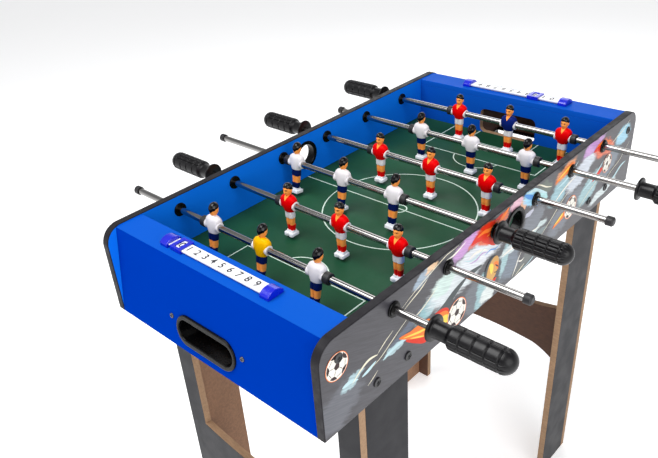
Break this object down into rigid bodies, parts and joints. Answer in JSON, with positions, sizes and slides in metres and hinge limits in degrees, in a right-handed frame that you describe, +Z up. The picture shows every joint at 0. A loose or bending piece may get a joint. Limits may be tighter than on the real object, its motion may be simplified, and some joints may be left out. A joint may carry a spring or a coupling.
{
  "type": "foosball table",
  "caption": "Small foosball table on board legs: sliding, spinning rods with moulded players, goals, ball cups and score counters.",
  "frame": {"origin": "on the floor under the middle of the overall box, with every rod at its stored slide position; the body's own middle is 24.25 mm towards +Y of it", "axes": "+X along the table from the near end (score counter at zero) to the far end, +Y along the rods towards the back, +Z up"},
  "size_m": [0.6918, 0.6626, 0.6647],
  "materials": {
    "printed_panel": "laminated board, glossy printed outer face, blue inner face",
    "edge_banding": "satin black edge band",
    "green_field": "painted hardboard, satin, white lines",
    "blue_laminate": "blue laminated board, semi-gloss",
    "leg_board": "board, dark grey laminate outside, raw inside",
    "black_plastic": "moulded, semi-gloss",
    "handle_plastic": "moulded grip, semi-gloss",
    "black_rubber": "matte rubber",
    "rod_chrome": "polished tube",
    "white_plastic": "white plate with black digits",
    "blue_plastic": "moulded, glossy deep blue",
    "black_screw": "black cross-head screw",
    "players_white": "moulded and painted figure",
    "players_red": "moulded and painted figure"
  },
  "bodies": {
    "table": {"front_side_panel": "printed_panel", "back_side_panel": "printed_panel", "edge_trims": "edge_banding", "playfield": "green_field", "ball_entry_rings": "black_plastic", "panel_bolts": "black_plastic", "near_goal_wall": "blue_laminate", "far_goal_wall": "blue_laminate", "near_ledge": "blue_laminate", "far_ledge": "blue_laminate", "near_end_panel": "blue_laminate", "far_end_panel": "blue_laminate", "near_ball_cup": "black_plastic", "far_ball_cup": "black_plastic", "near_end_frame": "leg_board", "far_end_frame": "leg_board", "near_leg_boards": "leg_board", "far_leg_boards": "leg_board", "cup_screws": "black_screw", "score_strips": "white_plastic", "score_end_caps": "blue_plastic", "rod_bushings": "black_plastic"},
    "near_score_slider": {"near_score_slider": "blue_plastic"},
    "far_score_slider": {"far_score_slider": "blue_plastic"},
    "rod_1_bearing": {"rod_1_sleeves": "black_plastic"},
    "rod_1": {"rod_1_tube": "rod_chrome", "rod_1_end_cap": "black_rubber", "rod_1_handle": "handle_plastic", "rod_1_stoppers": "black_rubber", "rod_1_players": "players_white"},
    "rod_2_bearing": {"rod_2_sleeves": "black_plastic"},
    "rod_2": {"rod_2_tube": "rod_chrome", "rod_2_end_cap": "black_rubber", "rod_2_handle": "handle_plastic", "rod_2_stoppers": "black_rubber", "rod_2_players": "players_red"},
    "rod_3_bearing": {"rod_3_sleeves": "black_plastic"},
    "rod_3": {"rod_3_tube": "rod_chrome", "rod_3_end_cap": "black_rubber", "rod_3_handle": "handle_plastic", "rod_3_stoppers": "black_rubber", "rod_3_players": "players_white"},
    "rod_4_bearing": {"rod_4_sleeves": "black_plastic"},
    "rod_4": {"rod_4_tube": "rod_chrome", "rod_4_end_cap": "black_rubber", "rod_4_handle": "handle_plastic", "rod_4_stoppers": "black_rubber", "rod_4_players": "players_red"},
    "rod_5_bearing": {"rod_5_sleeves": "black_plastic"},
    "rod_5": {"rod_5_tube": "rod_chrome", "rod_5_end_cap": "black_rubber", "rod_5_handle": "handle_plastic", "rod_5_stoppers": "black_rubber", "rod_5_players": "players_white"},
    "rod_6_bearing": {"rod_6_sleeves": "black_plastic"},
    "rod_6": {"rod_6_tube": "rod_chrome", "rod_6_end_cap": "black_rubber", "rod_6_handle": "handle_plastic", "rod_6_stoppers": "black_rubber", "rod_6_players": "players_red"}
  },
  "joints": [
    {"name": "near_score_slide", "type": "slide", "parent": "table", "child": "near_score_slider", "axis": [0, -1, 0], "range_m": [0, 0.1251]},
    {"name": "far_score_slide", "type": "slide", "parent": "table", "child": "far_score_slider", "axis": [0, 1, 0], "range_m": [-0.0278, 0.0973]},
    {"name": "rod_1_spin", "type": "hinge", "parent": "table", "child": "rod_1_bearing", "pos_m": [-0.235, 0.02425, 0.634], "axis": [0, 1, 0], "continuous": true},
    {"name": "rod_1_slide", "type": "slide", "parent": "rod_1_bearing", "child": "rod_1", "axis": [0, 1, 0], "range_m": [-0.0688, 0.0432]},
    {"name": "rod_2_spin", "type": "hinge", "parent": "table", "child": "rod_2_bearing", "pos_m": [-0.141, 0.02425, 0.634], "axis": [0, 1, 0], "continuous": true},
    {"name": "rod_2_slide", "type": "slide", "parent": "rod_2_bearing", "child": "rod_2", "axis": [0, 1, 0], "range_m": [-0.0306, 0.0814]},
    {"name": "rod_3_spin", "type": "hinge", "parent": "table", "child": "rod_3_bearing", "pos_m": [-0.047, 0.02425, 0.634], "axis": [0, 1, 0], "continuous": true},
    {"name": "rod_3_slide", "type": "slide", "parent": "rod_3_bearing", "child": "rod_3", "axis": [0, 1, 0], "range_m": [-0.1095, 0.0025]},
    {"name": "rod_4_spin", "type": "hinge", "parent": "table", "child": "rod_4_bearing", "pos_m": [0.047, 0.02425, 0.634], "axis": [0, 1, 0], "continuous": true},
    {"name": "rod_4_slide", "type": "slide", "parent": "rod_4_bearing", "child": "rod_4", "axis": [0, 1, 0], "range_m": [-0.0322, 0.0798]},
    {"name": "rod_5_spin", "type": "hinge", "parent": "table", "child": "rod_5_bearing", "pos_m": [0.141, 0.02425, 0.634], "axis": [0, 1, 0], "continuous": true},
    {"name": "rod_5_slide", "type": "slide", "parent": "rod_5_bearing", "child": "rod_5", "axis": [0, 1, 0], "range_m": [-0.0285, 0.0835]},
    {"name": "rod_6_spin", "type": "hinge", "parent": "table", "child": "rod_6_bearing", "pos_m": [0.235, 0.02425, 0.634], "axis": [0, 1, 0], "continuous": true},
    {"name": "rod_6_slide", "type": "slide", "parent": "rod_6_bearing", "child": "rod_6", "axis": [0, 1, 0], "range_m": [-0.0228, 0.0892]}
  ]
}
